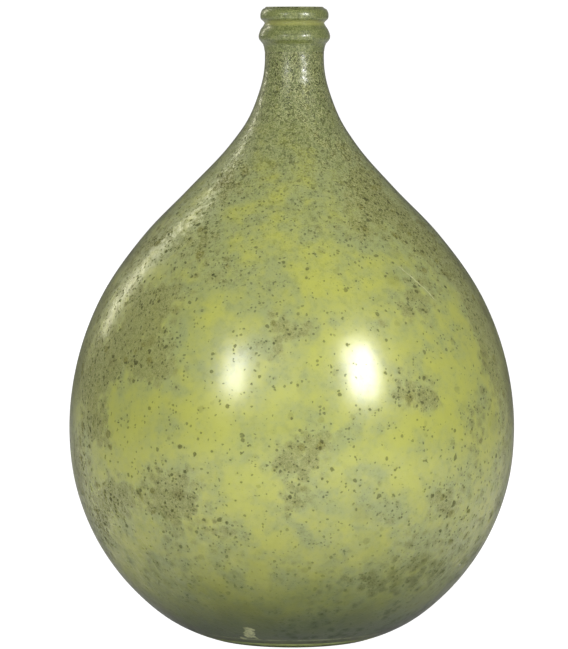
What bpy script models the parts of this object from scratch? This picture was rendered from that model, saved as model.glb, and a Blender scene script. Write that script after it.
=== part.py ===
"""Large hand-blown glass carboy with a short string-finished neck, standing on a kicked-up base.

The vessel is one turned wall of glass, open at the mouth. Two beads of glass are laid round its
neck, the lip at the rim and a collar under it, and a button of glass from the pontil iron is left
under the base. Units are metres and +Z is up. The origin is on the surface that the carboy stands
on, under the middle of its body.
"""

import math

import bpy
from mathutils import Vector

# Driving dimensions
HEIGHT = 0.560
NECK_RADIUS = 0.0262
BORE_RADIUS = 0.0185
STRAIGHT_NECK_FOOT = 0.520
LEAN = 0.0023  # how far the hand-made neck stands off the body's axis, along +X
LEAN_FOOT = 0.390
LEAN_HEAD = 0.475
GAP = 0.0003  # between pieces of glass that touch

# The mouth's flat rim
RIM_INNER = 0.0210
RIM_OUTER = 0.0246
RIM_CORNER_HEIGHT = 0.552

# The base: a flat ring that carries the weight, round a kick in the middle
FOOT_INNER = 0.064
FOOT_OUTER = 0.076
KICK_HEIGHT = 0.033

# Wall thicknesses
BODY_WALL = 0.0045
BASE_WALL = 0.0090
NECK_WALL = NECK_RADIUS - BORE_RADIUS
BASE_WALL_TOP = 0.090  # the wall thickens from here down to the base
BODY_WALL_TOP = 0.440  # and from here up
NECK_WALL_FOOT = 0.515  # to here

# The outer wall as (radius, height), from the straight neck down to the foot
WALL_STATIONS = (
    (NECK_RADIUS, STRAIGHT_NECK_FOOT),
    (0.0274, 0.500),
    (0.0329, 0.480),
    (0.0414, 0.460),
    (0.0548, 0.440),
    (0.0909, 0.400),
    (0.1297, 0.360),
    (0.1712, 0.300),
    (0.1925, 0.240),
    (0.1985, 0.184),
    (0.1940, 0.140),
    (0.1706, 0.080),
    (0.1397, 0.040),
    (0.1080, 0.0142),
    (FOOT_OUTER, 0.0),
)
# The underside of the kick, from the foot to the axis
KICK_STATIONS = (
    (FOOT_INNER, 0.0),
    (0.047, 0.0095),
    (0.026, 0.0275),
    (0.0, KICK_HEIGHT),
)

# The two beads of the string finish: bottom, widest place and top, and the greatest radius
LIP_BOTTOM, LIP_MIDDLE, LIP_TOP = 0.5462, 0.5522, 0.5589
LIP_RADIUS = 0.0304
COLLAR_BOTTOM, COLLAR_MIDDLE, COLLAR_TOP = 0.5262, 0.5342, 0.5450
COLLAR_RADIUS = 0.0319
ROUND = 2.0  # a bead section that is an ellipse
PEAKED = 1.35  # one that comes to a soft ridge

# The button of glass left by the pontil iron, a little off the middle
BUTTON_RADIUS = 0.0140
BUTTON_FLAT_RADIUS = 0.0084  # where its flat faces end and its round edge starts
BUTTON_BOTTOM, BUTTON_MIDDLE, BUTTON_TOP = 0.0258, 0.0290, 0.0313
BUTTON_OFFSET = -0.0030

# Fineness
VESSEL_STEPS = 56
BEAD_STEPS = 56
BUTTON_STEPS = 32
WALL_SPACING = 0.0215
KICK_SPACING = 0.0120
ARC_STEPS = 5

# Colour, roughness and transmission of each glass
VESSEL_GLASS = ((0.400, 0.440, 0.130, 1.0), 0.22, 0.45)
BEAD_GLASS = ((0.200, 0.260, 0.080, 1.0), 0.10, 0.70)
BUTTON_GLASS = ((0.260, 0.340, 0.150, 1.0), 0.15, 0.70)


def smoothstep(low, high, value):
    """0 below low, 1 above high, and a smooth rise between them."""
    t = min(1.0, max(0.0, (value - low) / (high - low)))
    return t * t * (3.0 - 2.0 * t)


def wall_thickness(height):
    """The glass is thin round the belly, and heavy at the base and in the neck."""
    base = (BASE_WALL - BODY_WALL) * (1.0 - smoothstep(0.0, BASE_WALL_TOP, height))
    neck = (NECK_WALL - BODY_WALL) * smoothstep(BODY_WALL_TOP, NECK_WALL_FOOT, height)
    return BODY_WALL + base + neck


def slopes(points):
    """The direction of travel at each point, by distance along the chords."""
    lengths = [(b - a).length for a, b in zip(points, points[1:])]
    chords = [(b - a) / d for a, b, d in zip(points, points[1:], lengths)]
    inner = [
        (chords[i] * lengths[i + 1] + chords[i + 1] * lengths[i])
        / (lengths[i] + lengths[i + 1])
        for i in range(len(chords) - 1)
    ]
    return [2.0 * chords[0] - inner[0], *inner, 2.0 * chords[-1] - inner[-1]]


def curve_through(stations, spacing):
    """Points about a spacing apart on a smooth curve through the stations."""
    points = [Vector(station) for station in stations]
    travel = slopes(points)
    path = [points[0]]
    for a, b, leave, arrive in zip(points, points[1:], travel, travel[1:]):
        length = (b - a).length
        pieces = max(1, round(length / spacing))
        for i in range(1, pieces + 1):
            t = i / pieces
            path.append(
                a * (2 * t**3 - 3 * t**2 + 1)
                + b * (3 * t**2 - 2 * t**3)
                + leave * length * (t**3 - 2 * t**2 + t)
                + arrive * length * (t**3 - t**2)
            )
    return path


def arc(centre, reach, start, end, fullness=ROUND):
    """A quarter of a superellipse about centre, as (radius, height) points, angles in degrees."""
    points = []
    for i in range(ARC_STEPS + 1):
        angle = math.radians(start + (end - start) * i / ARC_STEPS)
        across = math.copysign(abs(math.cos(angle)) ** (2.0 / fullness), math.cos(angle))
        up = math.copysign(abs(math.sin(angle)) ** (2.0 / fullness), math.sin(angle))
        points.append(Vector((centre[0] + reach[0] * across, centre[1] + reach[1] * up)))
    return points


def inside_of(outer):
    """The inner face of the wall whose outer face is given, from the mouth down to the axis."""
    inner = []
    for i, point in enumerate(outer):
        along = outer[min(i + 1, len(outer) - 1)] - outer[max(i - 1, 0)]
        inward = Vector((along.y, -along.x)).normalized()
        inner.append(point + inward * wall_thickness(point.y))
    inner[0].x = BORE_RADIUS
    inner[-1] = Vector((0.0, outer[-1].y + BASE_WALL))
    return inner


def vessel_outline():
    """The wall's section, from the axis up the inside, over the rim and down the outside."""
    neck_middle = (RIM_CORNER_HEIGHT + STRAIGHT_NECK_FOOT) / 2.0
    outer = [Vector((NECK_RADIUS, RIM_CORNER_HEIGHT)), Vector((NECK_RADIUS, neck_middle))]
    outer += curve_through(WALL_STATIONS, WALL_SPACING)
    outer += curve_through(KICK_STATIONS, KICK_SPACING)
    inner = inside_of(outer)
    inner_round = RIM_INNER - BORE_RADIUS
    outer_round = NECK_RADIUS - RIM_OUTER
    rim = arc((RIM_INNER, HEIGHT - inner_round), (inner_round, inner_round), 180, 90)
    rim += arc((RIM_OUTER, HEIGHT - outer_round), (outer_round, outer_round), 90, 0)
    return inner[::-1] + rim + outer


def bead_outline(radius, bottom, middle, top, fullness):
    """The section of a bead laid round the neck: a round nose and a straight back."""
    back = NECK_RADIUS + GAP
    reach = radius - back
    nose = arc((back, middle), (reach, top - middle), 90, 0, fullness)
    nose += arc((back, middle), (reach, middle - bottom), 0, -90, fullness)[1:]
    return nose


def button_outline():
    """The section of the pontil button, from the axis over its edge and back to the axis."""
    centre = (BUTTON_FLAT_RADIUS, BUTTON_MIDDLE)
    reach = BUTTON_RADIUS - BUTTON_FLAT_RADIUS
    edge = arc(centre, (reach, BUTTON_TOP - BUTTON_MIDDLE), 90, 0)
    edge += arc(centre, (reach, BUTTON_MIDDLE - BUTTON_BOTTOM), 0, -90)[1:]
    return [Vector((0.0, BUTTON_TOP)), *edge, Vector((0.0, BUTTON_BOTTOM))]


def glass(name, colour, roughness, transmission):
    """A Principled glass."""
    material = bpy.data.materials.new(name)
    material.use_nodes = True
    shader = material.node_tree.nodes["Principled BSDF"]
    shader.inputs["Base Color"].default_value = colour
    shader.inputs["Roughness"].default_value = roughness
    shader.inputs["Metallic"].default_value = 0.0
    shader.inputs["Transmission Weight"].default_value = transmission
    material.diffuse_color = colour
    return material


def turned(name, outline, steps, material, collection, ring=False):
    """An object whose section is turned about Z. A ring's section closes on itself."""
    links = [(i, i + 1) for i in range(len(outline) - 1)]
    if ring:
        links.append((len(outline) - 1, 0))
    mesh = bpy.data.meshes.new(name)
    mesh.from_pydata([(point.x, 0.0, point.y) for point in outline], links, [])
    mesh.materials.append(material)
    piece = bpy.data.objects.new(name, mesh)
    collection.objects.link(piece)
    screw = piece.modifiers.new("turn", "SCREW")
    screw.steps = steps
    screw.render_steps = steps
    screw.use_merge_vertices = True
    screw.merge_threshold = 0.00001
    screw.use_smooth_shade = True
    return piece


def lean_neck(vessel):
    """Sets the upper part of the vessel off to one side, more and more from the shoulder up."""
    group = vessel.vertex_groups.new(name="lean")
    for vertex in vessel.data.vertices:
        group.add([vertex.index], smoothstep(LEAN_FOOT, LEAN_HEAD, vertex.co.z), "REPLACE")
    shift = vessel.modifiers.new("lean", "DISPLACE")
    shift.direction = "X"
    shift.mid_level = 0.0
    shift.strength = LEAN
    shift.vertex_group = group.name


def clear_scene():
    """Removes every object, so that the file holds only the carboy."""
    for stray in list(bpy.data.objects):
        bpy.data.objects.remove(stray, do_unlink=True)


def main():
    """Builds the carboy's pieces in a collection of their own."""
    clear_scene()
    carboy = bpy.data.collections.new("glass_carboy")
    bpy.context.scene.collection.children.link(carboy)

    vessel_glass = glass("vessel_glass", *VESSEL_GLASS)
    bead_glass = glass("bead_glass", *BEAD_GLASS)
    button_glass = glass("button_glass", *BUTTON_GLASS)

    vessel = turned("glass_vessel", vessel_outline(), VESSEL_STEPS, vessel_glass, carboy)
    lean_neck(vessel)

    lip = bead_outline(LIP_RADIUS, LIP_BOTTOM, LIP_MIDDLE, LIP_TOP, ROUND)
    collar = bead_outline(COLLAR_RADIUS, COLLAR_BOTTOM, COLLAR_MIDDLE, COLLAR_TOP, PEAKED)
    for name, outline in (("lip_ring", lip), ("collar_ring", collar)):
        bead = turned(name, outline, BEAD_STEPS, bead_glass, carboy, ring=True)
        bead.location.x = LEAN

    button = turned("pontil_button", button_outline(), BUTTON_STEPS, button_glass, carboy)
    button.location.x = BUTTON_OFFSET


main()
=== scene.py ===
"""Looks for a large hand-blown glass carboy.

The carboy is a vessel of clouded green glass with two beads laid round its neck and a pontil
button under its base. Each of them is a class that builds its mesh and dresses it. The vessel's
glass carries a mottled frosting of haze, soft-edged blotches and fine dark droplets, and some
painted light and shade: darker sides, a heel darkened partly as shade, a pale line on the
shoulder, and a lit strip with a shadow line at the foot. The groove between the beads is painted paler.
Lengths are in metres, angles in degrees, +Z is up, and -Y is the front.
"""

import logging
import math
import random
from collections.abc import Callable, Mapping, Sequence
from dataclasses import dataclass, field
from enum import Enum
from typing import Self

import bmesh
import bpy
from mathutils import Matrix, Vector, noise


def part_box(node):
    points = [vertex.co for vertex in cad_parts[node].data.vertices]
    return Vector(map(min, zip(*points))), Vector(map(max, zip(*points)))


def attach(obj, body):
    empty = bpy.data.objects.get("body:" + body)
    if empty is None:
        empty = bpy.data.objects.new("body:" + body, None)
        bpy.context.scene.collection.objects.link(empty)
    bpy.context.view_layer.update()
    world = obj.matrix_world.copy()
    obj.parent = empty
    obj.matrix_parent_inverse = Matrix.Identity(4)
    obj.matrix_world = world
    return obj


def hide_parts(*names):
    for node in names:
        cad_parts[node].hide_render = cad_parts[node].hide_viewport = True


LOG = logging.getLogger("carboy")
BODY = "root"
UP = Vector((0.0, 0.0, 1.0))
SMALLEST_STEP = 1e-6  # points closer than this are one point
NECK_LEAN = 0.0023  # how far the hand-made neck stands off the body's axis, towards +X
DISPLAY_TOP = 255.0

Colour = tuple[float, float, float, float]

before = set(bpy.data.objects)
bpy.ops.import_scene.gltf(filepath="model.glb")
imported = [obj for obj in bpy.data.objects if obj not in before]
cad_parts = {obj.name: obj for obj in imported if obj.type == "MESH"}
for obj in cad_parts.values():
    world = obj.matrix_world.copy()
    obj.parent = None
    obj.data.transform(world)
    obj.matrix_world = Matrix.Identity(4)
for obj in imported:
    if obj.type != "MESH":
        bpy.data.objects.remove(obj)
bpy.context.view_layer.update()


def smoothstep(low: float, high: float, value: float) -> float:
    """Rises smoothly from 0 at low to 1 at high.

    Args:
        low: where the rise starts.
        high: where it ends.
        value: where to read it.

    Returns:
        A number from 0 to 1.
    """
    t = min(1.0, max(0.0, (value - low) / (high - low)))
    return t * t * (3.0 - 2.0 * t)


def tint(red: int, green: int, blue: int, strength: float = 1.0) -> Colour:
    """A linear colour from display values.

    Args:
        red: display red, 0 to 255.
        green: display green, 0 to 255.
        blue: display blue, 0 to 255.
        strength: what the linear colour is multiplied by.

    Returns:
        Linear red, green and blue, and an alpha of 1.
    """

    def linear(value: int) -> float:
        """One channel's linear value."""
        share = value / DISPLAY_TOP
        return strength * (((share + 0.055) / 1.055) ** 2.4 if value > 10 else share / 12.92)

    return (linear(red), linear(green), linear(blue), 1.0)


# Shader maths


class Wire:
    """An output socket: arithmetic on it adds Math nodes to its board."""

    def __init__(self, board: "Board", socket: bpy.types.NodeSocket) -> None:
        """Keeps the board and the socket that it wraps."""
        self.board = board
        self.socket = socket

    def _math(self, operation: str, first: "Wire | float", second: "Wire | float" = 0.0) -> "Wire":
        """A Math node of that operation on the values."""
        return self.board.node("ShaderNodeMath", {0: first, 1: second}, operation=operation)

    def __add__(self, other: "Wire | float") -> "Wire":
        """self + other."""
        return self._math("ADD", self, other)

    __radd__ = __add__

    def __sub__(self, other: "Wire | float") -> "Wire":
        """self - other."""
        return self._math("SUBTRACT", self, other)

    def __rsub__(self, other: float) -> "Wire":
        """other - self."""
        return self._math("SUBTRACT", other, self)

    def __mul__(self, other: "Wire | float") -> "Wire":
        """self * other."""
        return self._math("MULTIPLY", self, other)

    __rmul__ = __mul__

    def at_most(self, limit: "Wire | float") -> "Wire":
        """The smaller of the two."""
        return self._math("MINIMUM", self, limit)

    def at_least(self, limit: "Wire | float") -> "Wire":
        """The larger of the two."""
        return self._math("MAXIMUM", self, limit)

    def other(self, output: str) -> "Wire":
        """Another output of the same node."""
        return Wire(self.board, self.socket.node.outputs[output])

    def size(self) -> "Wire":
        """The value without its sign."""
        return self._math("ABSOLUTE", self)

    def clamped(self) -> "Wire":
        """The value held between 0 and 1."""
        return self.at_least(0.0).at_most(1.0)

    def rise(self, low: "Wire | float", high: "Wire | float") -> "Wire":
        """A smooth rise from 0 where the value is low to 1 where it is high."""
        inputs = {"Value": self, "From Min": low, "From Max": high, "To Min": 0.0, "To Max": 1.0}
        return self.board.node("ShaderNodeMapRange", inputs, interpolation_type="SMOOTHSTEP")


Feed = Wire | float | Sequence[float]
Inputs = Mapping[int, Feed] | Mapping[str, Feed] | Mapping[int | str, Feed]


class Board:
    """The node tree of a material or a world, filled through one method."""

    def __init__(self, name: str, world: bool = False) -> None:
        """Starts an empty material or world.

        Args:
            name: its name.
            world: whether it is a world.
        """
        self.owner = (bpy.data.worlds if world else bpy.data.materials).new(name)
        self.end = "ShaderNodeOutputWorld" if world else "ShaderNodeOutputMaterial"
        self.owner.use_nodes = True
        self.tree = self.owner.node_tree
        self.tree.nodes.clear()

    def add(self, kind: str, inputs: Inputs, **settings: str) -> bpy.types.Node:
        """Adds a node.

        Args:
            kind: the node's type.
            inputs: what each socket takes, by name, identifier or place: a value or another's output.
            settings: the node's own settings, which are set first.

        Returns:
            The node.
        """
        node = self.tree.nodes.new(kind)
        for setting, value in settings.items():
            setattr(node, setting, value)
        for key, feed in inputs.items():
            socket = self._socket(node.inputs, key)
            if isinstance(feed, Wire):
                self.tree.links.new(feed.socket, socket)
            else:
                socket.default_value = feed
        return node

    def node(
        self, kind: str, inputs: Inputs | None = None, output: int | str = 0, **settings: str
    ) -> Wire:
        """Adds a node for one of its outputs.

        Args:
            kind: the node's type.
            inputs: what each socket takes.
            output: the output that is wanted, by place or name.
            settings: the node's own settings.

        Returns:
            The wanted output.
        """
        return Wire(self, self._socket(self.add(kind, inputs or {}, **settings).outputs, output))

    @staticmethod
    def _socket(
        sockets: "bpy.types.NodeInputs | bpy.types.NodeOutputs", key: int | str
    ) -> bpy.types.NodeSocket:
        """Finds a socket.

        Args:
            sockets: a node's inputs or outputs.
            key: the socket's place, identifier or name.

        Returns:
            The socket.
        """
        if isinstance(key, int):
            return sockets[key]
        for socket in sockets:
            if socket.identifier == key:
                return socket
        return sockets[key]

    def blend(self, factor: Wire | float, first: Feed, second: Feed) -> Wire:
        """The first colour where factor is 0 and the second where it is 1."""
        inputs = {"Factor_Float": factor, "A_Color": first, "B_Color": second}
        return self.node("ShaderNodeMix", inputs, "Result_Color", data_type="RGBA")

    def place(self) -> Wire:
        """The point's place on the object, in metres."""
        return self.node("ShaderNodeTexCoord", output="Object")

    def stretched(self, vector: Wire, stretch: Sequence[float], turn: float = 0.0) -> Wire:
        """The vector for a texture that is stretched that much along each axis, after a turn about Y."""
        inputs = {"Vector": vector, "Rotation": (0.0, turn, 0.0), "Scale": stretch}
        return self.node("ShaderNodeMapping", inputs, vector_type="TEXTURE")

    def height(self, vector: Wire) -> Wire:
        """The vector's Z."""
        return self.node("ShaderNodeSeparateXYZ", {0: vector}, "Z")

    def dot(self, vector: Wire, direction: Sequence[float]) -> Wire:
        """How far the vector goes along a direction."""
        return self.node("ShaderNodeVectorMath", {0: vector, 1: direction}, "Value", operation="DOT_PRODUCT")

    def distance(self, vector: Wire, point: Sequence[float]) -> Wire:
        """How far the vector is from a point."""
        return self.node("ShaderNodeVectorMath", {0: vector, 1: point}, "Value", operation="DISTANCE")

    def cloud(self, vector: Wire, scale: float, detail: float = 3.0, roughness: float = 0.55) -> Wire:
        """Fractal noise, about 0.5 on average."""
        inputs = {"Vector": vector, "Scale": scale, "Detail": detail, "Roughness": roughness}
        return self.node("ShaderNodeTexNoise", inputs, "Fac")

    def warped(self, vector: Wire, scale: float, reach: float) -> Wire:
        """Pushes a vector about by noise.

        Args:
            vector: what is pushed.
            scale: the noise's features per metre.
            reach: how far it pushes.

        Returns:
            The pushed vector.
        """
        inputs = {"Vector": vector, "Scale": scale, "Detail": 2.0}
        push = self.node("ShaderNodeTexNoise", inputs, "Color")
        middle = self.node("ShaderNodeVectorMath", {0: push, 1: (0.5, 0.5, 0.5)}, operation="SUBTRACT")
        far = self.node("ShaderNodeVectorMath", {0: middle, "Scale": 2.0 * reach}, operation="SCALE")
        return self.node("ShaderNodeVectorMath", {0: vector, 1: far}, operation="ADD")

    def mark(self, name: str) -> Wire:
        """A number that the mesh carries at its points."""
        return self.node("ShaderNodeAttribute", output="Fac", attribute_name=name)

    def finish(self, surface: Wire, volume: Wire | None = None) -> bpy.types.Material | bpy.types.World:
        """Joins the shaders to the output.

        Args:
            surface: the surface's shader.
            volume: the shader of what is inside, if it has one.

        Returns:
            The material or world.
        """
        self.add(self.end, {"Surface": surface, "Volume": volume} if volume else {"Surface": surface})
        return self.owner


# Finishes


class Droplet(Enum):
    """Sizes of the round spots in the frosting: cells per metre."""

    LOBE = 34.0
    SPOT = 78.0
    DROP = 150.0
    SPECK = 330.0
    DUST = 620.0


@dataclass(frozen=True)
class Film:
    """The frosting's masks at a point of the vessel's wall, mostly from 0 to 1."""

    place: Wire  # the point itself, in metres
    scallop: Wire  # the point pushed about, so that what is read there has scalloped edges
    height: Wire
    upper: Wire  # on the shoulder and above it
    neck: Wire
    heel: Wire
    patchy: Wire  # clouds, from coarse to fine
    fine: Wire
    grain: Wire
    haze: Wire
    blot: Wire  # the filled smudges, and on the sides painted shade
    lobes: Wire  # the round spots, from large to small
    spots: Wire
    drops: Wire
    specks: Wire
    dust: Wire
    slashes: Wire  # dark slanting marks on the scuffed sides
    scuffs: Wire  # pale slanting lines there

    def wear(self) -> Wire:
        """How much of the glassy surface is broken."""
        broken = self.blot * 0.4 + self.spots * 0.4 + self.drops + self.specks + self.dust * 0.7
        return (broken + self.slashes).clamped()


@dataclass(frozen=True)
class FrostedGlass:
    """Green glass under a mottled frosting, for the vessel."""

    clean: Colour = tint(198, 201, 92, 0.80)
    cloudy: Colour = tint(168, 177, 116, 0.69)
    olive: Colour = tint(126, 126, 58, 0.54)
    dark: Colour = tint(72, 74, 30, 0.36)
    # heel: darker towards the bottom, partly for the heavier glass there and partly as painted shade near the
    # floor
    heel: Colour = tint(56, 84, 4, 0.22)
    neck: Colour = tint(114, 124, 62, 0.36)
    pale: Colour = tint(204, 206, 150, 0.64)
    # painted light: the pale strip at the foot, standing in for light caught by the glass there
    painted_foot_light: Colour = tint(172, 182, 110, 0.95)
    glow: Colour = tint(188, 192, 94, 0.70)
    glass: Colour = tint(206, 220, 140)
    rim: Colour = tint(98, 96, 44)
    deep: Colour = tint(150, 190, 70)
    depth_density: float = 45.0
    shoulder_foot: float = 0.270
    shoulder_head: float = 0.430
    neck_foot: float = 0.380
    neck_head: float = 0.500
    heel_foot: float = 0.004
    heel_top: float = 0.142
    heel_waver: float = 0.04
    foot_top: float = 0.0058
    foot_edge: float = 0.0006
    foot_shadow_fade: tuple[float, float] = (0.0014, 0.0034)  # how far above the painted light at the foot the painted shadow line fades
    foot_seam: float = 0.0108
    base: tuple[float, float] = (0.001, 0.009)  # the heights between which the frosting starts
    bubbles: float = 105.0  # smudge scallops per metre
    slant_turn: float = math.radians(-54.0)
    slant_stretch: float = 5.0
    drop_strength: float = 0.74
    speck_strength: float = 0.70
    dust_strength: float = 0.42
    slash_strength: float = 0.42
    heel_strength: float = 0.97
    glint_strength: float = 0.8
    dab_strength: float = 0.62
    foot_shadow_strength: float = 0.6
    seam_strength: float = 0.30
    rim_strength: float = 0.72
    dab_spots: tuple[tuple[float, float, float, float], ...] = (  # x, y, z and radius of each
        (-0.0366, -0.1134, 0.0233, 0.0050),
        (-0.0363, -0.1084, 0.0193, 0.0056),
        (-0.0366, -0.1032, 0.0153, 0.0050),
        (-0.0416, -0.0943, 0.0120, 0.0032),
        (-0.0307, -0.1013, 0.0132, 0.0020),
    )
    # painted highlight: the thin pale line on the shoulder runs between these two points
    glint_start: tuple[float, float, float] = (0.0889, -0.1158, 0.338)
    glint_end: tuple[float, float, float] = (0.1237, -0.1122, 0.307)

    @staticmethod
    def droplets(
        board: Board, vector: Wire, size: Droplet, radius: float, share: Wire | float, edge: float
    ) -> Wire:
        """Round spots scattered at one size.

        Args:
            board: the material's nodes.
            vector: where the spots are read.
            size: the spots' size.
            radius: their mean radius as a share of their cell.
            share: how many of the cells hold a spot, from 0 to 1.
            edge: how soft their edge is, as a share of the cell.

        Returns:
            1 inside a spot, 0 outside.
        """
        cells = {"Vector": vector, "Scale": size.value, "Randomness": 1.0}
        distance = board.node("ShaderNodeTexVoronoi", cells, "Distance")
        lot = board.node("ShaderNodeSeparateColor", {0: distance.other("Color")}, "Red")
        bigness = lot.other("Green")
        empty = 1.0 - share
        present = lot.rise(empty - 0.03, empty + 0.03)
        reach = radius * (0.60 + bigness * 0.80)
        return present * (1.0 - distance.rise(reach - edge, reach + edge))

    def dab(self, board: Board, vector: Wire) -> Wire:
        """The pale dab on the heel, with its ragged tails.

        Args:
            board: the material's nodes.
            vector: where it is read.

        Returns:
            1 in the dab, 0 away from it.
        """
        ragged = board.warped(vector, 320.0, 0.0020)
        share: Wire | float = 0.0
        for *spot, radius in self.dab_spots:
            away = board.distance(ragged, spot)
            share = (1.0 - away.rise(radius * 0.8, radius * 1.15)).at_least(share)
        return share * (0.45 + board.cloud(vector, 420.0, 2.0, 0.6).rise(0.40, 0.58) * 0.55)

    def painted_glint(self, board: Board, vector: Wire) -> Wire:
        """A painted highlight: one long thin pale line on the shoulder, standing in for a reflection.

        Args:
            board: the material's nodes.
            vector: where it is read.

        Returns:
            1 on the painted highlight, 0 away from it.
        """
        start, end = Vector(self.glint_start), Vector(self.glint_end)
        along = end - start
        across = along.cross(start + end).normalized()
        offset = board.node("ShaderNodeVectorMath", {0: vector, 1: start}, operation="SUBTRACT")
        aside = board.dot(offset, across).size()
        travel = board.dot(offset, along / along.length_squared)
        within = travel.rise(-0.02, 0.06) * (1.0 - travel.rise(0.90, 1.0))
        near_side = board.dot(vector, start + end).rise(0.0, 0.01)
        return (1.0 - aside.rise(0.0002, 0.0009)) * within * near_side

    def film(self, board: Board) -> Film:
        """Lays out the frosting, from the point's place and the marks that the vessel carries.

        Args:
            board: the material's nodes.

        Returns:
            The masks.
        """
        place = board.place()
        height = board.height(place)
        cover = board.mark("cover")
        streak = board.mark("streak")
        drift = board.warped(place, 18.0, 0.010)
        scallop = board.warped(place, 150.0, 0.0022)
        broad = board.cloud(drift, 7.0, 2.0, 0.5)
        middle = board.cloud(drift, 26.0, 4.0, 0.62)
        patchy = board.cloud(scallop, 60.0, 3.0, 0.6)
        upper = height.rise(self.shoulder_foot, self.shoulder_head)
        neck = height.rise(self.neck_foot, self.neck_head)
        wavered = height + (middle - 0.5) * self.heel_waver
        # 1 at the bottom, where the colour darkens: partly for heavier glass, partly as painted shade
        heel = 1.0 - wavered.rise(self.heel_foot, self.heel_top)

        cells = {"Vector": scallop, "Scale": self.bubbles}
        bubbles = board.node("ShaderNodeTexVoronoi", cells, "Distance")
        heavy = cover + (broad - 0.5) * 1.1 + (middle - 0.5) * 1.7
        blot = (heavy + (0.42 - bubbles) * 1.1 + (patchy - 0.5) * 0.9).rise(0.02, 0.86)
        crowd = (middle * 1.6 + patchy * 1.2 - 1.4 + cover * 0.25).rise(-0.05, 0.45)
        haze = middle * 0.9 + broad * 0.6 + cover * 0.15 + patchy * 0.9 + upper * 0.2
        calm = 1.0 - heel * 0.85
        quiet = calm * (1.0 - neck * 0.6)
        speckled = crowd * 0.44 + upper * 0.20 + 0.16
        dusted = crowd * 0.34 + upper * 0.36 + 0.07

        mirrored = board.node("ShaderNodeVectorMath", {0: place}, operation="ABSOLUTE")
        slant = board.stretched(mirrored, (self.slant_stretch, 1.0, 1.0), self.slant_turn)
        hairlines = (board.cloud(slant, 210.0, 2.0, 0.5) - 0.5).size().rise(0.0, 0.035)
        return Film(
            place=place,
            scallop=scallop,
            height=height,
            upper=upper,
            neck=neck,
            heel=heel,
            patchy=patchy,
            fine=board.cloud(place, 210.0, 3.0, 0.7),
            grain=board.cloud(place, 640.0, 1.0, 0.6),
            haze=haze.rise(0.92, 1.50),
            blot=blot,
            lobes=self.droplets(board, scallop, Droplet.LOBE, 0.24, heavy * 0.3 + 0.24, 0.10) * calm,
            spots=self.droplets(board, scallop, Droplet.SPOT, 0.24, heavy * 0.2 + 0.25, 0.055) * calm,
            drops=self.droplets(board, scallop, Droplet.DROP, 0.23, crowd * 0.34 + 0.17, 0.06) * quiet,
            specks=self.droplets(board, scallop, Droplet.SPECK, 0.32, speckled, 0.09) * quiet,
            dust=self.droplets(board, place, Droplet.DUST, 0.38, dusted, 0.13) * quiet,
            slashes=self.droplets(board, slant, Droplet.DROP, 0.24, streak * 0.40, 0.12),
            scuffs=(1.0 - hairlines) * streak,
        )

    def skin(self, board: Board, film: Film, painted_foot_light: Wire) -> Wire:
        """The frosting's colour, with painted light and shade at the heel, the foot and the shoulder.

        Args:
            board: the material's nodes.
            film: the frosting's masks.
            painted_foot_light: 1 on the strip at the foot that is painted pale, standing in for light caught
                by the glass there.

        Returns:
            The colour.
        """
        net = board.cloud(film.place, 430.0, 2.0, 0.6)
        strands = 1.0 - (net - 0.5).size().rise(0.0, 0.06)
        pits = net.rise(0.53, 0.60)
        web = film.fine.rise(0.47, 0.62)
        tangle = 0.04 + film.haze * 0.06 + film.upper * 0.22 + film.neck * 0.34 + film.blot * 0.12
        shade = (film.blot * 0.78 + film.lobes * 0.24 + film.spots * 0.52) * (0.74 + film.fine * 0.42)
        over_foot = film.height - self.foot_top
        # painted shadow: a dark line just above the painted light at the foot
        painted_foot_shadow = (1.0 - painted_foot_light) * (1.0 - over_foot.rise(*self.foot_shadow_fade))
        seam = 1.0 - (film.height - self.foot_seam).size().rise(0.0003, 0.0012)
        layers = (
            (film.neck * 0.85, self.neck),
            (shade.clamped(), self.olive),
            (web * (0.05 + film.haze * 0.12 + film.upper * 0.22 + film.neck * 0.14), self.dark),
            (pits * (film.upper * 0.16 + film.neck * 0.30), self.dark),
            (strands * tangle, self.pale),
            (film.drops * self.drop_strength, self.dark),
            (film.specks * self.speck_strength, self.dark),
            (film.dust * self.dust_strength, self.dark),
            (film.slashes * self.slash_strength, self.dark),
            # the darker heel: partly heavier glass, partly painted shade
            (film.heel * self.heel_strength, self.heel),
            (film.scuffs * (0.22 + film.fine * 0.36), self.pale),
            # painted highlight: the thin pale line on the shoulder
            (self.painted_glint(board, film.scallop) * self.glint_strength, self.pale),
            (self.dab(board, film.scallop) * self.dab_strength, self.pale),
            # painted shadow above the foot
            (painted_foot_shadow * self.foot_shadow_strength, self.dark),
            (seam * film.patchy.rise(0.42, 0.60) * self.seam_strength, self.pale),
            # painted light on the strip at the foot
            (painted_foot_light, self.painted_foot_light),
        )
        skin = board.blend(film.haze, self.clean, self.cloudy)
        for share, colour in layers:
            skin = board.blend(share, skin, colour)
        return skin

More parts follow.
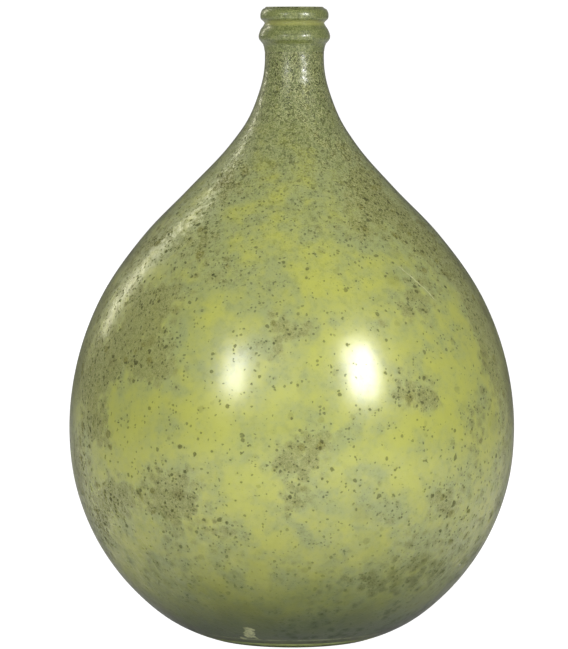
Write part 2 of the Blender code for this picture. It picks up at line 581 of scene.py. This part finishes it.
    def frosting(self, board: Board, film: Film, skin: Wire, wear: Wire, edge: Wire) -> Wire:
        """The frosting's shader: a glossy skin with light from behind coming through where it is thin.

        Args:
            board: the material's nodes.
            film: the frosting's masks.
            skin: its colour.
            wear: how much of its surface is broken.
            edge: 1 where the wall is seen edge on.

        Returns:
            The shader.
        """
        gloss = (film.patchy * 1.0 + film.fine * 0.8).rise(0.62, 1.10)
        broken = film.neck.at_least(film.upper * 0.9) * (film.fine.rise(0.42, 0.54) * 0.80 + 0.15)
        coat = 1.0 - wear * 0.85 - gloss * 0.40 - film.heel * 1.2 - broken - edge * 0.5
        hollows = film.blot * 0.3 + film.spots * 0.3 + film.drops + film.specks * 0.8
        relief = film.fine * (0.8 + film.neck * 3.0) + film.grain * 0.4 - hollows
        bump = {"Strength": 0.22, "Distance": 0.0012, "Height": relief}
        surface = board.node(
            "ShaderNodeBsdfPrincipled",
            {
                "Base Color": skin,
                "Roughness": 0.42 + wear * 0.4,
                "IOR": 1.45,
                "Specular IOR Level": 0.35,
                "Coat Weight": coat.clamped(),
                "Coat Roughness": 0.23,
                "Coat IOR": 1.7,
                "Normal": board.node("ShaderNodeBump", bump, "Normal"),
            },
        )
        glow = board.node("ShaderNodeBsdfTranslucent", {"Color": self.glow})
        through = 0.24 - film.blot * 0.18 - film.neck * 0.18 - film.upper * 0.05 - wear * 0.24
        return board.node(
            "ShaderNodeMixShader", {0: through.clamped() * (1.0 - film.heel), 1: surface, 2: glow}
        )

    def material(self) -> bpy.types.Material:
        """Puts the frosting over clear glass, with a darker rim where the wall is seen edge on.

        Returns:
            The material.
        """
        board = Board("frosted_green_glass")
        film = self.film(board)
        outside = 1.0 - board.mark("inside")
        # painted light: 1 on the strip at the foot that is painted pale
        painted_foot_light = 1.0 - film.height.rise(self.foot_top - self.foot_edge, self.foot_top + self.foot_edge)
        edge = board.node("ShaderNodeLayerWeight", {"Blend": 0.5}, "Facing").rise(0.68, 0.97)
        wear = film.wear()
        frosting = self.frosting(board, film, self.skin(board, film, painted_foot_light), wear, edge)
        clear = board.node(
            "ShaderNodeBsdfPrincipled",
            {"Base Color": self.glass, "Roughness": 0.25, "IOR": 1.5, "Transmission Weight": 1.0},
        )
        rim = board.node(
            "ShaderNodeBsdfPrincipled",
            {
                "Base Color": self.rim,
                "Roughness": 0.30,
                "IOR": 1.2,
                "Specular IOR Level": 0.0,
                "Transmission Weight": 1.0,
            },
        )
        thick = 0.68 + wear * 0.24 + film.haze * 0.08 + film.heel * 0.3
        cover = ((thick * film.height.rise(*self.base) + painted_foot_light * 0.7) * outside).clamped()
        surface = board.node("ShaderNodeMixShader", {0: cover, 1: clear, 2: frosting})
        rimmed = edge * outside * self.rim_strength
        surface = board.node("ShaderNodeMixShader", {0: rimmed, 1: surface, 2: rim})
        depth = {"Color": self.deep, "Density": self.depth_density}
        return board.finish(surface, board.node("ShaderNodeVolumeAbsorption", depth))


@dataclass(frozen=True)
class BeadGlass:
    """Deeper green glass with tooling lines, for the beads and the button."""

    name: str
    body: Colour = tint(120, 130, 64, 0.54)
    shade: Colour = tint(70, 80, 26, 0.44)
    pale: Colour = tint(186, 192, 126, 0.74)
    # painted light in the groove between the beads
    glow: Colour = tint(172, 174, 96, 0.62)
    glass: Colour = tint(190, 206, 124)
    deep: Colour = tint(120, 160, 50)
    depth_density: float = 40.0
    clouding: float = 0.80
    strand_strength: float = 0.36
    groove: float = 0.5457  # the height of the groove between the beads, painted paler as painted light shining through
    groove_reach: float = 0.0034
    groove_strength: float = 0.85

    def material(self) -> bpy.types.Material:
        """Puts fine tooling lines and a frosting over clear glass.

        Returns:
            The material.
        """
        board = Board(self.name)
        place = board.place()
        lines = board.cloud(board.stretched(place, (44.0, 44.0, 1.0)), 620.0, 3.0, 0.6)
        mottle = board.cloud(place, 180.0, 4.0, 0.65)
        fine = board.cloud(place, 420.0, 3.0, 0.7)
        strands = 1.0 - (board.cloud(place, 430.0, 2.0, 0.6) - 0.5).size().rise(0.0, 0.07)
        dim = lines.rise(0.40, 0.75) * 0.35 + mottle.rise(0.42, 0.72) * 0.4 + fine.rise(0.46, 0.66) * 0.45
        skin = board.blend(dim.clamped(), self.body, self.shade)
        skin = board.blend(strands * self.strand_strength, skin, self.pale)
        # painted light: the groove between the beads is painted paler, standing in for light shining through
        # the glass
        away = (board.height(place) - self.groove).size() + (mottle - 0.5) * 0.002
        painted_groove_light = (1.0 - away.rise(0.0, self.groove_reach)) * self.groove_strength
        skin = board.blend(painted_groove_light, skin, self.glow)
        relief = {"Strength": 0.30, "Distance": 0.0010, "Height": lines + fine * 1.4}
        bump = board.node("ShaderNodeBump", relief, "Normal")
        frosting = board.node(
            "ShaderNodeBsdfPrincipled",
            {
                "Base Color": skin,
                "Roughness": 0.36 + mottle * 0.2,
                "IOR": 1.45,
                "Coat Weight": (0.9 - fine.rise(0.42, 0.60) * 0.7).clamped(),
                "Coat Roughness": 0.22,
                "Normal": bump,
            },
        )
        clear = board.node(
            "ShaderNodeBsdfPrincipled",
            {
                "Base Color": self.glass,
                "Roughness": 0.16,
                "IOR": 1.5,
                "Transmission Weight": 1.0,
                "Normal": bump,
            },
        )
        coverage = (self.clouding - 0.25 + mottle * 0.5).clamped()
        surface = board.node("ShaderNodeMixShader", {0: coverage, 1: clear, 2: frosting})
        depth = {"Color": self.deep, "Density": self.depth_density}
        return board.finish(surface, board.node("ShaderNodeVolumeAbsorption", depth))


@dataclass(frozen=True)
class StudioPaper:
    """The pale paper that the carboy stands on."""

    colour: Colour = (0.90, 0.90, 0.90, 1.0)
    light: Colour = (1.0, 1.0, 1.0, 1.0)
    brightness: float = 1.25
    wash: float = 0.84

    def material(self) -> bpy.types.Material:
        """Matt white that looks nearly washed out, and lights the carboy as paper does.

        Returns:
            The material.
        """
        board = Board("studio_paper")
        paper = board.node(
            "ShaderNodeBsdfPrincipled",
            {
                "Base Color": self.colour,
                "Roughness": 0.9,
                "Specular IOR Level": 0.0,
            },
        )
        light = board.node("ShaderNodeEmission", {"Color": self.light, "Strength": self.brightness})
        seen = board.node("ShaderNodeLightPath", output="Is Camera Ray")
        return board.finish(board.node("ShaderNodeMixShader", {0: seen * self.wash, 1: paper, 2: light}))


# Sections and turning

Outline = list[Vector]  # points as (radius, height)


def curve_through(stations: Sequence[tuple[float, float]], spacing: float) -> Outline:
    """Points on a smooth curve through the stations.

    Args:
        stations: the points that the curve goes through, as (radius, height).
        spacing: about how far apart the points are.

    Returns:
        The points, the first and last station among them.
    """
    points = [Vector(station) for station in stations]
    lengths = [(b - a).length for a, b in zip(points, points[1:])]
    chords = [(b - a) / d for a, b, d in zip(points, points[1:], lengths)]
    inner = [
        (chords[i] * lengths[i + 1] + chords[i + 1] * lengths[i]) / (lengths[i] + lengths[i + 1])
        for i in range(len(chords) - 1)
    ]
    travel = [2.0 * chords[0] - inner[0], *inner, 2.0 * chords[-1] - inner[-1]]
    path = [points[0]]
    for a, b, leave, arrive, length in zip(points, points[1:], travel, travel[1:], lengths):
        pieces = max(1, round(length / spacing))
        for i in range(1, pieces + 1):
            t = i / pieces
            path.append(
                a * (2 * t**3 - 3 * t**2 + 1)
                + b * (3 * t**2 - 2 * t**3)
                + leave * length * (t**3 - 2 * t**2 + t)
                + arrive * length * (t**3 - t**2)
            )
    return path


def arc(
    centre: tuple[float, float], reach: tuple[float, float], start: float, end: float, steps: int
) -> Outline:
    """Part of an ellipse.

    Args:
        centre: its centre, as (radius, height).
        reach: how far it goes out and up from there.
        start: the first point's angle in degrees, 0 being outward and 90 up.
        end: the last point's angle.
        steps: how many stretches it has.

    Returns:
        The points.
    """
    points = []
    for i in range(steps + 1):
        angle = math.radians(start + (end - start) * i / steps)
        out, up = reach[0] * math.cos(angle), reach[1] * math.sin(angle)
        points.append(Vector((centre[0] + out, centre[1] + up)))
    return points


class Turning:
    """A mesh turned about Z from a section."""

    def __init__(self, outline: Outline, steps: int, ring: bool = False, inner: int = 0) -> None:
        """Turns the section.

        Args:
            outline: the section's points.
            steps: how many stretches the turn has.
            ring: whether the section closes on itself.
            inner: how many points, from the first, belong to the inside of a wall.
        """
        self.mesh = bmesh.new()
        self.inside = self.mesh.verts.layers.float.new("inside")
        points = [self.mesh.verts.new((p.x, 0.0, p.y)) for p in outline]
        for i, point in enumerate(points):
            point[self.inside] = 1.0 if i < inner else 0.0
        links = [self.mesh.edges.new(pair) for pair in zip(points, points[1:])]
        if ring:
            links.append(self.mesh.edges.new((points[-1], points[0])))
        bmesh.ops.spin(
            self.mesh, geom=[*points, *links], cent=(0.0, 0.0, 0.0), axis=UP,
            angle=2.0 * math.pi, steps=steps, use_merge=True, use_duplicate=False,
        )
        bmesh.ops.remove_doubles(self.mesh, verts=self.mesh.verts[:], dist=SMALLEST_STEP)
        bmesh.ops.recalc_face_normals(self.mesh, faces=self.mesh.faces[:])

    def mark(self, name: str, reading: Callable[[Vector], float]) -> Self:
        """Gives each point outside the wall a number.

        Args:
            name: the number's name.
            reading: what gives the number at a place.

        Returns:
            The turning itself.
        """
        layer = self.mesh.verts.layers.float.new(name)
        for point in self.mesh.verts:
            if point[self.inside] < 0.5:
                point[layer] = reading(point.co)
        return self

    def shift(self, reading: Callable[[Vector], Vector]) -> Self:
        """Moves each point.

        Args:
            reading: what gives the move at a place.

        Returns:
            The turning itself.
        """
        for point in self.mesh.verts:
            point.co = point.co + reading(point.co)
        return self

    def piece(self, name: str, finish: bpy.types.Material) -> bpy.types.Object:
        """Makes the object, smooth-shaded.

        Args:
            name: its name.
            finish: its material.

        Returns:
            The object.
        """
        mesh = bpy.data.meshes.new(name)
        self.mesh.to_mesh(mesh)
        self.mesh.free()
        mesh.shade_smooth()
        mesh.materials.append(finish)
        piece = bpy.data.objects.new(name, mesh)
        bpy.context.scene.collection.objects.link(piece)
        return piece


# The carboy


BLOTCH_REACH = 0.12  # a blotch is nothing farther from its middle than this
BLOTCH_DROP = 1.35  # how much sooner it ends below its middle than above
BLOTCH_FALL = 0.7
REAR_COUNT = 64
REAR_SEED = 34
RIM_STEPS = 8  # stretches in each rounded corner
RAISED_STEPS = 7  # straight stretches of the neck under the rim


@dataclass(frozen=True)
class Blotch:
    """A soft-edged area of the frosting: where it is, how big it is and how strong."""

    azimuth: float  # degrees from the front, towards +X
    height: float
    half_width: float
    half_height: float
    strength: float = 1.0
    tilt: float = 0.0  # degrees, a positive one leaning to the right at the top

    def reading(self, azimuth: float, height: float, radius: float) -> float:
        """How strong it is at a place on the wall.

        Args:
            azimuth: the place's angle from the front, towards +X.
            height: the place's height.
            radius: the place's distance from the axis.

        Returns:
            Its strength in its middle, falling to 0 around it.
        """
        turn = math.remainder(azimuth - self.azimuth, 360.0)
        across = math.radians(turn) * radius
        up = height - self.height
        if math.hypot(across, up) > BLOTCH_REACH:
            return 0.0
        lean = math.radians(self.tilt)
        along = (across * math.cos(lean) - up * math.sin(lean)) / self.half_width
        rise = (across * math.sin(lean) + up * math.cos(lean)) / self.half_height
        if rise < 0.0:
            rise *= BLOTCH_DROP
        return self.strength * math.exp(-BLOTCH_FALL * (along * along + rise * rise))


def blotches(*rows: tuple[float, ...]) -> tuple[Blotch, ...]:
    """Blotches from rows of their fields."""
    return tuple(Blotch(*row) for row in rows)


BLOTCHES_AND_SIDE_SHADE = blotches(
    (-52, 0.265, 0.028, 0.026, 0.85), (-38, 0.256, 0.034, 0.024), (-64, 0.225, 0.030, 0.030),
    (-40, 0.306, 0.020, 0.014), (-55, 0.193, 0.020, 0.022), (-50, 0.305, 0.026, 0.020, 0.7),
    (-53, 0.141, 0.014, 0.014), (-40, 0.138, 0.040, 0.016, 0.7), (-38, 0.358, 0.022, 0.022, 0.7),
    (-44, 0.407, 0.020, 0.016), (-3, 0.280, 0.013, 0.024, 0.9, -20), (7, 0.289, 0.016, 0.009),
    (26, 0.289, 0.009, 0.010, 0.9), (39, 0.300, 0.020, 0.024, 0.8), (29, 0.235, 0.012, 0.018),
    (37, 0.227, 0.014, 0.012), (9, 0.195, 0.018, 0.018, 0.7), (1, 0.177, 0.022, 0.018),
    (1, 0.141, 0.013, 0.010, 0.8), (59, 0.363, 0.032, 0.030), (47, 0.398, 0.026, 0.026),
    (68, 0.285, 0.020, 0.036), (66, 0.239, 0.016, 0.030), (54, 0.186, 0.016, 0.030, 0.8),
    (74, 0.320, 0.026, 0.030), (42, 0.135, 0.020, 0.020, 0.6), (-23, 0.122, 0.034, 0.024, 0.5),
    (36, 0.072, 0.034, 0.020, 0.7), (-60, 0.118, 0.014, 0.020, 0.7), (33, 0.372, 0.018, 0.016, 0.5),
    # painted shade: the eleven blotches from here to (68, 0.110) lie 66 to 79 degrees round either side and
    # darken the sides
    (-76, 0.300, 0.014, 0.030, 0.9), (-78, 0.240, 0.014, 0.028, 0.9), (-72, 0.160, 0.014, 0.030, 0.8),
    (-66, 0.350, 0.018, 0.024, 0.9), (78, 0.270, 0.014, 0.030, 0.9), (79, 0.210, 0.014, 0.030, 0.9),
    (70, 0.170, 0.014, 0.026, 0.7), (-70, 0.265, 0.036, 0.060, 0.5), (-68, 0.130, 0.034, 0.044, 0.6),
    (72, 0.235, 0.034, 0.070, 0.5), (68, 0.110, 0.036, 0.040, 0.6), (-26, 0.330, 0.022, 0.016, 0.6),
    (-34, 0.152, 0.030, 0.022, 0.6), (-10, 0.372, 0.020, 0.014, 0.5), (9, 0.365, 0.012, 0.012, 0.6),
    (27, 0.372, 0.014, 0.012, 0.6),
)
CLEAN_PATCHES = blotches(
    (-45, 0.212, 0.022, 0.022, 1.0), (-16, 0.215, 0.026, 0.020, 1.0), (-18, 0.297, 0.022, 0.022, 0.9),
    (1, 0.343, 0.016, 0.028, 0.8), (29, 0.340, 0.014, 0.014, 0.8), (32, 0.165, 0.024, 0.024, 0.8),
    (-13, 0.141, 0.018, 0.016, 1.0), (18, 0.195, 0.030, 0.034, 0.8), (10, 0.125, 0.020, 0.020, 0.9),
    (-58, 0.340, 0.010, 0.010, 0.8), (35, 0.277, 0.024, 0.014, 0.6), (-15, 0.256, 0.018, 0.030, 0.8),
    (18, 0.256, 0.022, 0.034, 0.8), (3, 0.240, 0.022, 0.030, 0.6), (14, 0.314, 0.028, 0.026, 0.5),
    (-28, 0.278, 0.018, 0.026, 0.9),
)
STREAKS = blotches(
    (-54, 0.108, 0.046, 0.060, 0.9), (-68, 0.190, 0.026, 0.066, 0.9), (58, 0.108, 0.046, 0.060, 0.9),
    (70, 0.190, 0.026, 0.066, 0.9),
)


def rear_blotches() -> tuple[Blotch, ...]:
    """Blotches for the sides and the back, where none are listed.

    Returns:
        The blotches, the same at every run; those of a strength below 0 are clean patches.
    """
    dice = random.Random(REAR_SEED)
    return tuple(
        Blotch(
            azimuth=dice.uniform(84.0, 276.0),
            height=dice.uniform(0.08, 0.42),
            half_width=dice.uniform(0.012, 0.034),
            half_height=dice.uniform(0.010, 0.030),
            strength=dice.choice((-0.8, -0.6, 0.7, 0.9, 1.0)),
            tilt=dice.uniform(-30.0, 30.0),
        )
        for _ in range(REAR_COUNT)
    )


@dataclass(frozen=True)
class Vessel:
    """The blown vessel: body, shoulder and neck in one wall, with a kicked-up base."""

    node: str = "glass_vessel"
    steps: int = 208
    spacing: float = 0.0045
    neck_radius: float = 0.0262
    bore_radius: float = 0.0185
    rim_inner: float = 0.0210
    rim_outer: float = 0.0246
    rim_corner: float = 0.552
    body_wall: float = 0.0045
    base_wall: float = 0.0090
    base_wall_top: float = 0.090
    body_wall_top: float = 0.440
    neck_wall_foot: float = 0.515
    lean_foot: float = 0.390
    lean_head: float = 0.475
    wall: tuple[tuple[float, float], ...] = (
        (0.0262, 0.520), (0.0274, 0.500), (0.0329, 0.480), (0.0414, 0.460), (0.0548, 0.440),
        (0.0909, 0.400), (0.1297, 0.360), (0.1712, 0.300), (0.1925, 0.240), (0.1985, 0.184),
        (0.1940, 0.140), (0.1706, 0.080), (0.1397, 0.040), (0.1080, 0.0142), (0.0760, 0.0),
    )
    kick: tuple[tuple[float, float], ...] = ((0.064, 0.0), (0.047, 0.0095), (0.026, 0.0275), (0.0, 0.033))
    rear: tuple[Blotch, ...] = field(default_factory=rear_blotches)

    def thickness(self, height: float) -> float:
        """How thick the glass is: thin round the belly, and heavy at the base and in the neck.

        Args:
            height: where it is read.

        Returns:
            The thickness.
        """
        base = (self.base_wall - self.body_wall) * (1.0 - smoothstep(0.0, self.base_wall_top, height))
        neck_wall = self.neck_radius - self.bore_radius
        neck = (neck_wall - self.body_wall) * smoothstep(self.body_wall_top, self.neck_wall_foot, height)
        return self.body_wall + base + neck

    def section(self) -> tuple[Outline, int]:
        """The wall's section, from the axis up the inside, over the rim and down the outside.

        Returns:
            The points, and how many of them belong to the inside.
        """
        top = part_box(self.node)[1][2]
        straight = [
            Vector((self.neck_radius, self.rim_corner - i * self.spacing)) for i in range(RAISED_STEPS)
        ]
        outer = straight + curve_through(self.wall, self.spacing) + curve_through(self.kick, self.spacing)
        inner = []
        for i, point in enumerate(outer):
            along = outer[min(i + 1, len(outer) - 1)] - outer[max(i - 1, 0)]
            inward = Vector((along.y, -along.x)).normalized()
            inner.append(point + inward * self.thickness(point.y))
        inner[0].x = self.bore_radius
        inner[-1] = Vector((0.0, outer[-1].y + self.base_wall))
        within = self.rim_inner - self.bore_radius
        without = self.neck_radius - self.rim_outer
        rim = arc((self.rim_inner, top - within), (within, within), 180, 90, RIM_STEPS)
        rim += arc((self.rim_outer, top - without), (without, without), 90, 0, RIM_STEPS)
        return inner[::-1] + rim + outer, len(inner)

    def leaned(self, place: Vector) -> Vector:
        """How far the hand-made neck stands off the body's axis at a place."""
        return Vector((NECK_LEAN * smoothstep(self.lean_foot, self.lean_head, place.z), 0.0, 0.0))

    @staticmethod
    def reading(marks: Sequence[Blotch], place: Vector) -> float:
        """Adds up blotches at a place.

        Args:
            marks: the blotches.
            place: where they are read.

        Returns:
            Their sum.
        """
        azimuth = math.degrees(math.atan2(place.x, -place.y))
        radius = math.hypot(place.x, place.y)
        return sum(mark.reading(azimuth, place.z, radius) for mark in marks)

    def cover(self, place: Vector) -> float:
        """How heavy the frosting is at a place, with painted shade on the sides: 1 in a blotch and -1 in a
        clean patch.
        """
        dark = self.reading(BLOTCHES_AND_SIDE_SHADE, place) - self.reading(CLEAN_PATCHES, place)
        return max(-1.0, min(1.2, dark + self.reading(self.rear, place)))

    def build(self) -> bpy.types.Object:
        """Builds the vessel and puts it in its node's place.

        Returns:
            The piece.
        """
        section, inner = self.section()
        turning = Turning(section, self.steps, inner=inner)
        turning.mark("cover", self.cover)
        turning.mark("streak", lambda place: min(1.0, self.reading(STREAKS, place)))
        turning.shift(self.leaned)
        piece = turning.piece("clouded_vessel", FrostedGlass().material())
        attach(piece, BODY)
        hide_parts(self.node)
        return piece


@dataclass(frozen=True)
class Bead:
    """A bead of glass laid round the neck, with a skirt that runs out onto it."""

    node: str
    name: str
    outline: tuple[tuple[float, float], ...]  # (radius, height), top to bottom
    back: float = 0.02625
    steps: int = 160
    spacing: float = 0.0006
    waver: float = 0.00035

    def build(self, finish: bpy.types.Material) -> bpy.types.Object:
        """Builds the bead and puts it in its node's place.

        Args:
            finish: its material.

        Returns:
            The piece.
        """
        turning = Turning(curve_through(self.outline, self.spacing), self.steps, ring=True)
        turning.shift(self.uneven)
        piece = turning.piece(self.name, finish)
        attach(piece, BODY)
        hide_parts(self.node)
        return piece

    def uneven(self, place: Vector) -> Vector:
        """The neck's lean, and the slight waver of a bead laid by hand.

        Args:
            place: the point.

        Returns:
            How far the point moves.
        """
        wave = noise.noise(Vector((place.x * 30.0, place.y * 30.0, place.z * 60.0)))
        outward = Vector((place.x, place.y, 0.0)).normalized()
        depth = smoothstep(self.back, max(radius for radius, _ in self.outline), math.hypot(place.x, place.y))
        return Vector((NECK_LEAN, 0.0, 0.0)) - outward * (self.waver * depth * (0.5 + wave))


LIP = (
    (0.02625, 0.5588), (0.0269, 0.5586), (0.0284, 0.5578), (0.0296, 0.5561), (0.0303, 0.5540),
    (0.0304, 0.5517), (0.0299, 0.5495), (0.0285, 0.5480), (0.0273, 0.5471), (0.0267, 0.5462),
    (0.02645, 0.5458), (0.02625, 0.5457),
)
COLLAR = (
    (0.02625, 0.5455), (0.02645, 0.5454), (0.0267, 0.5449), (0.0272, 0.5440), (0.0281, 0.5426),
    (0.0299, 0.5402), (0.0313, 0.5368), (0.0319, 0.5342), (0.0313, 0.5315), (0.0297, 0.5293),
    (0.0282, 0.5276), (0.0273, 0.5256), (0.0267, 0.5228), (0.0262, 0.5203), (0.0257, 0.5194),
)


@dataclass(frozen=True)
class PontilButton:
    """The dab of glass that the pontil iron left in the kick of the base."""

    node: str = "pontil_button"
    steps: int = 64
    flat_share: float = 0.6  # the flat's radius as a share of the button's
    middle_share: float = 0.58  # the widest place's height as a share of the button's
    top_steps: int = 5
    under_steps: int = 6
    roughness: float = 0.0018

    def build(self, finish: bpy.types.Material) -> bpy.types.Object:
        """Builds the button, broken off roughly underneath, in its node's place.

        Args:
            finish: its material.

        Returns:
            The piece.
        """
        low, high = (Vector(corner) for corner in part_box(self.node))
        centre = (low + high) / 2.0
        radius = (high.x - low.x) / 2.0
        shoulder = self.flat_share * radius
        middle = low.z + self.middle_share * (high.z - low.z)
        top = [Vector((shoulder * i / self.top_steps, high.z)) for i in range(self.top_steps)]
        edge = arc((shoulder, middle), (radius - shoulder, high.z - middle), 90, 0, RIM_STEPS)
        edge += arc((shoulder, middle), (radius - shoulder, middle - low.z), 0, -90, RIM_STEPS)[1:]
        inward = [1 - i / self.under_steps for i in range(1, self.under_steps + 1)]
        under = [Vector((shoulder * share, low.z)) for share in inward]
        turning = Turning([*top, *edge, *under], self.steps)

        def broken(place: Vector) -> Vector:
            """The move to the button's place, with the broken face's hollows.

            Args:
                place: the point.

            Returns:
                How far the point moves.
            """
            rough = 0.5 + 0.5 * noise.fractal(place * 260.0, 0.8, 2.1, 4)
            face = 1.0 - smoothstep(low.z, middle, place.z)
            return Vector((centre.x, centre.y, self.roughness * face * max(0.0, rough)))

        turning.shift(broken)
        piece = turning.piece("broken_pontil_button", finish)
        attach(piece, BODY)
        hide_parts(self.node)
        return piece


# The studio


@dataclass(frozen=True)
class SoftBox:
    """A rectangular studio light that faces the carboy."""

    name: str
    azimuth: float
    elevation: float
    distance: float
    width: float
    height: float
    brightness: float
    mirrored: bool = True  # whether it is seen in the glass
    colour: tuple[float, float, float] = (1.0, 1.0, 1.0)
    aim: tuple[float, float, float] = (0.0, 0.0, 0.25)

    def build(self) -> bpy.types.Object:
        """Hangs the light.

        Returns:
            The light.
        """
        light = bpy.data.lights.new(self.name, "AREA")
        light.shape = "RECTANGLE"
        light.size = self.width
        light.size_y = self.height
        light.color = self.colour
        light.energy = self.brightness * math.pi * self.width * self.height
        azimuth, elevation = math.radians(self.azimuth), math.radians(self.elevation)
        outward = Vector((
            math.sin(azimuth) * math.cos(elevation),
            -math.cos(azimuth) * math.cos(elevation),
            math.sin(elevation),
        ))
        lamp = bpy.data.objects.new(self.name, light)
        lamp.location = Vector(self.aim) + outward * self.distance
        lamp.rotation_euler = outward.to_track_quat("Z", "Y").to_euler()
        lamp.visible_camera = False
        lamp.visible_glossy = self.mirrored
        bpy.context.scene.collection.objects.link(lamp)
        return lamp


@dataclass(frozen=True)
class Studio:
    """The paper floor, the lights and the camera."""

    soft_boxes: tuple[SoftBox, ...] = (
        SoftBox("soft_box_left", -29.5, 21.5, 1.6, 0.27, 0.44, 21.0),
        SoftBox("soft_box_right", 37.0, 21.5, 1.6, 0.34, 0.52, 38.0),
        SoftBox("rim_strip_left", -130.0, 32.0, 2.0, 0.24, 1.5, 7.0, colour=(1.0, 0.96, 0.74)),
        SoftBox("front_fill", -18.0, 24.0, 3.2, 2.6, 1.6, 5.0, mirrored=False),
        SoftBox("back_fill", 176.0, 24.0, 3.2, 2.6, 1.6, 0.8, mirrored=False),
    )
    floor_size: float = 12.0
    ambient: float = 0.30
    backdrop: float = 1.05
    camera_distance: float = 3.0
    camera_height: float = 0.53
    aim_height: float = 0.2778
    aim_across: float = -0.0069
    lens: float = 187.2
    sensor: float = 36.0
    sight: float = 60.0  # how far the camera sees

    def floor(self) -> bpy.types.Object:
        """Lays the paper.

        Returns:
            The paper.
        """
        mesh = bmesh.new()
        bmesh.ops.create_grid(mesh, x_segments=8, y_segments=8, size=self.floor_size / 2.0)
        data = bpy.data.meshes.new("paper_floor")
        mesh.to_mesh(data)
        mesh.free()
        data.materials.append(StudioPaper().material())
        paper = bpy.data.objects.new("paper_floor", data)
        bpy.context.scene.collection.objects.link(paper)
        return paper

    def sky(self) -> None:
        """Surrounds the studio with even white light, a little brighter where the camera looks."""
        board = Board("white_studio", world=True)
        seen = board.node("ShaderNodeLightPath", output="Is Camera Ray")
        levels = {"Value": seen, "To Min": self.ambient, "To Max": self.backdrop}
        strength = board.node("ShaderNodeMapRange", levels)
        light = {"Color": (1.0, 1.0, 1.0, 1.0), "Strength": strength}
        bpy.context.scene.world = board.finish(board.node("ShaderNodeBackground", light))

    def camera(self) -> bpy.types.Object:
        """Sets the camera, near the height of the carboy's mouth and well back.

        Returns:
            The camera.
        """
        lens = bpy.data.cameras.new("studio_camera")
        lens.lens = self.lens
        lens.sensor_width = self.sensor
        lens.clip_end = self.sight
        camera = bpy.data.objects.new("studio_camera", lens)
        place = Vector((0.0, -self.camera_distance, self.camera_height))
        aim = Vector((self.aim_across, 0.0, self.aim_height))
        camera.location = place
        camera.rotation_euler = (aim - place).to_track_quat("-Z", "Y").to_euler()
        bpy.context.scene.collection.objects.link(camera)
        bpy.context.scene.camera = camera
        return camera

    def build(self) -> None:
        """Sets up everything that isn't the carboy."""
        self.camera()
        self.floor()
        self.sky()
        for box in self.soft_boxes:
            box.build()
        bpy.context.scene.view_settings.view_transform = "Standard"
        bpy.context.scene.view_settings.look = "None"


def main() -> None:
    """Builds the carboy and its studio, and reports each piece."""
    logging.basicConfig(level=logging.INFO, format="%(name)s: %(message)s")
    Studio().build()
    bead_glass = BeadGlass("bead_glass").material()
    button_glass = BeadGlass("button_glass", clouding=0.55).material()
    pieces = [
        Vessel().build(),
        Bead("lip_ring", "lip_bead", LIP).build(bead_glass),
        Bead("collar_ring", "collar_bead", COLLAR).build(bead_glass),
        PontilButton().build(button_glass),
    ]
    for piece in pieces:
        LOG.info("%s: %d faces", piece.name, len(piece.data.polygons))


if __name__ == "__main__":
    main()
